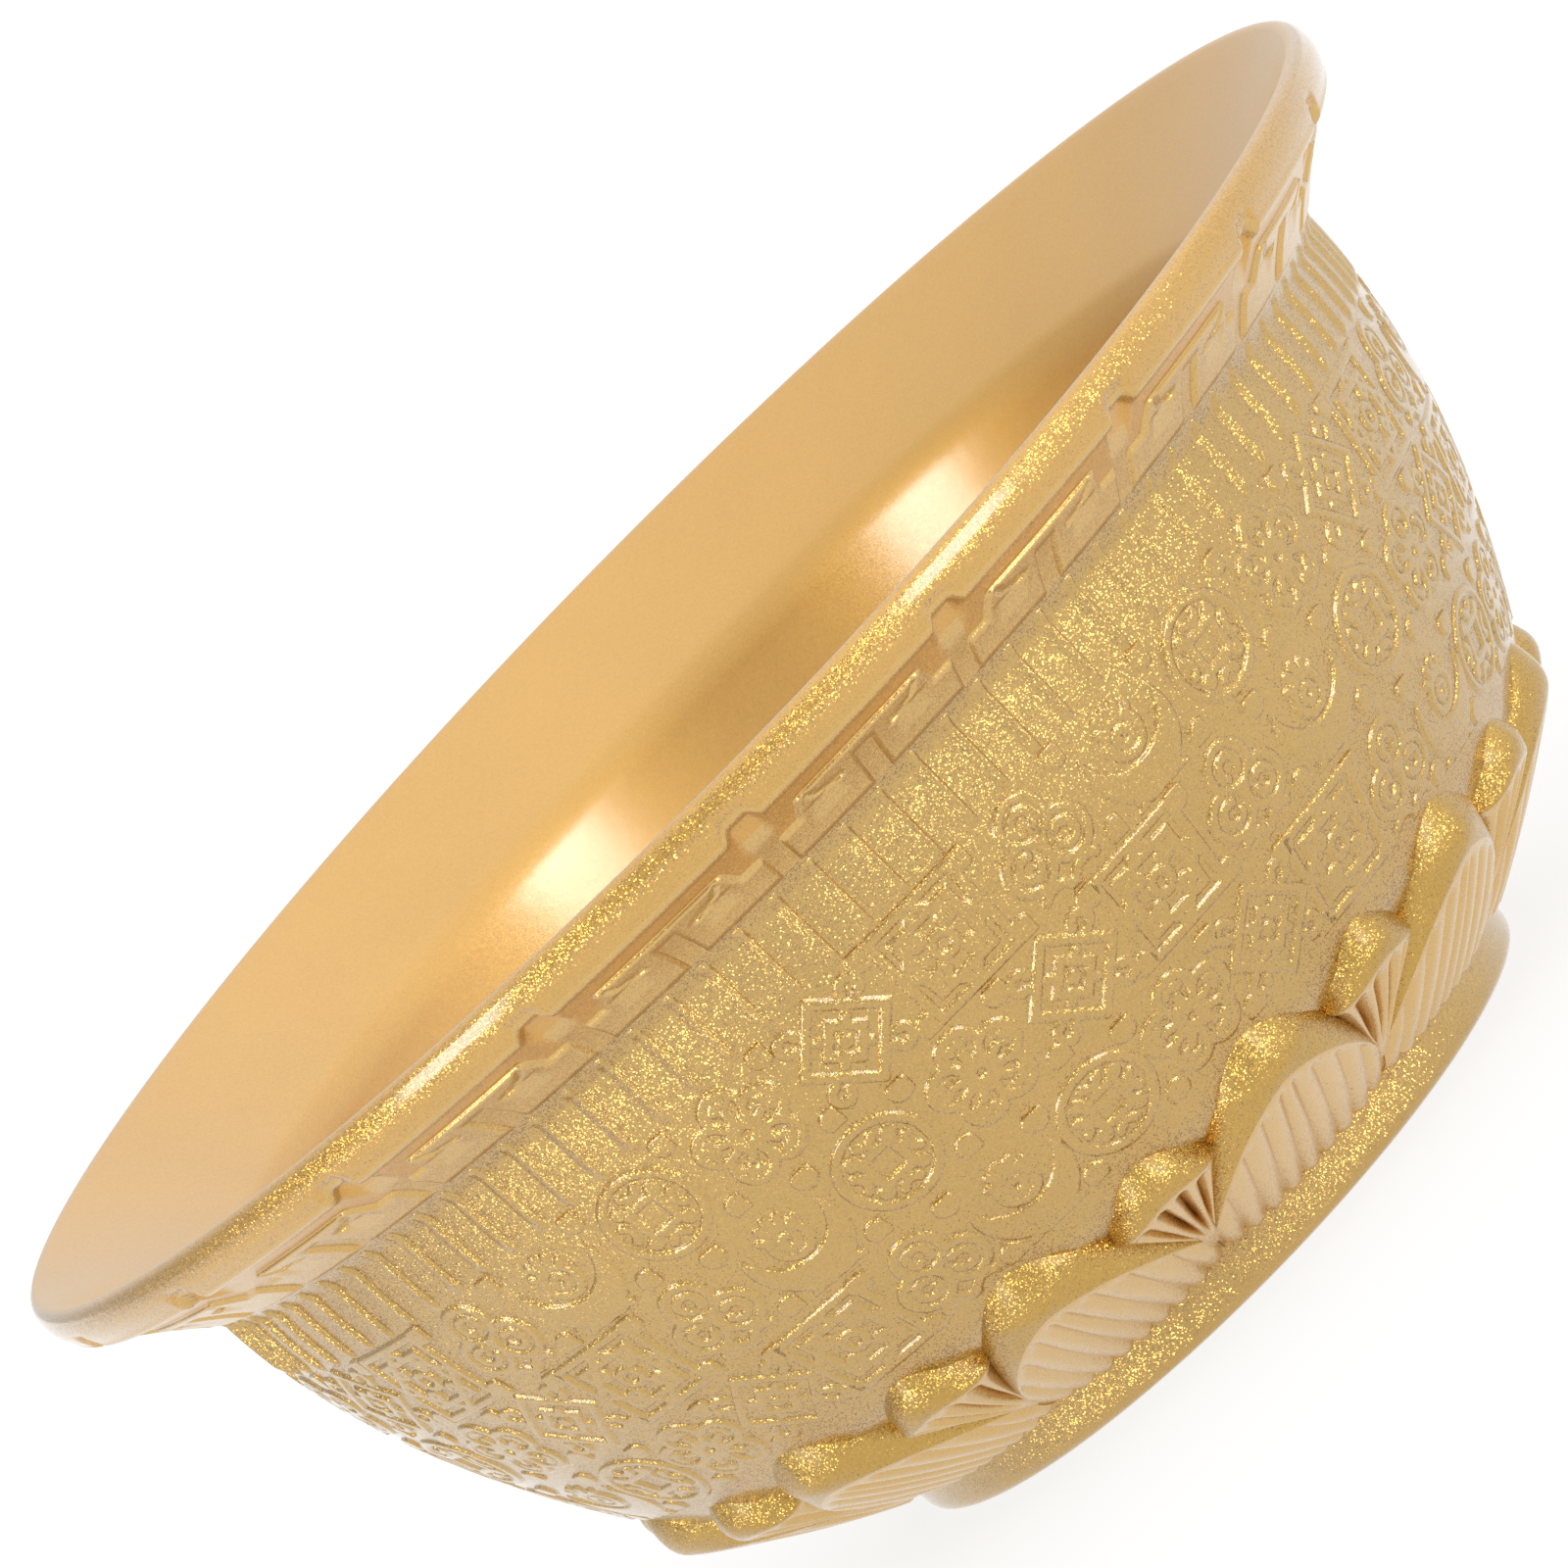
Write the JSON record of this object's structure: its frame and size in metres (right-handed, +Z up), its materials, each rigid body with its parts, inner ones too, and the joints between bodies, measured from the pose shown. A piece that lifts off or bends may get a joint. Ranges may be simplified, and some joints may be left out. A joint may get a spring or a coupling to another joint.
{
  "type": "treasure bowl",
  "caption": "Small round offering bowl with a flared lip, a key-fret neck, relief ornaments on the wall and a lotus-petal base on a plain foot ring.",
  "frame": {"origin": "centre of the foot ring, on the surface the bowl stands on", "axes": "+Z up along the bowl's axis, -Y towards the front of the picture"},
  "size_m": [0.085, 0.085, 0.038],
  "materials": {
    "bowl_gold": "gold metallic-flake lacquer, satin",
    "relief_gold": "gold metallic-flake lacquer, satin",
    "petal_gold": "gold metallic-flake lacquer, satin",
    "foot_gold": "gold metallic-flake lacquer, satin"
  },
  "bodies": {
    "root": {"bowl_shell": "bowl_gold", "foot_ring": "foot_gold", "fret_band": "relief_gold", "comb_ribs": "relief_gold", "coin_emblems": "relief_gold", "blossom_emblems": "relief_gold", "lozenge_emblems": "relief_gold", "knot_emblems": "relief_gold", "cloud_emblems": "relief_gold", "ingot_emblems": "relief_gold", "large_petal_01": "petal_gold", "large_petal_02": "petal_gold", "large_petal_03": "petal_gold", "large_petal_04": "petal_gold", "large_petal_05": "petal_gold", "large_petal_06": "petal_gold", "large_petal_07": "petal_gold", "large_petal_08": "petal_gold", "large_petal_09": "petal_gold", "large_petal_10": "petal_gold", "large_petal_11": "petal_gold", "large_petal_12": "petal_gold", "small_petal_01": "petal_gold", "small_petal_02": "petal_gold", "small_petal_03": "petal_gold", "small_petal_04": "petal_gold", "small_petal_05": "petal_gold", "small_petal_06": "petal_gold", "small_petal_07": "petal_gold", "small_petal_08": "petal_gold", "small_petal_09": "petal_gold", "small_petal_10": "petal_gold", "small_petal_11": "petal_gold", "small_petal_12": "petal_gold"}
  },
  "joints": []
}
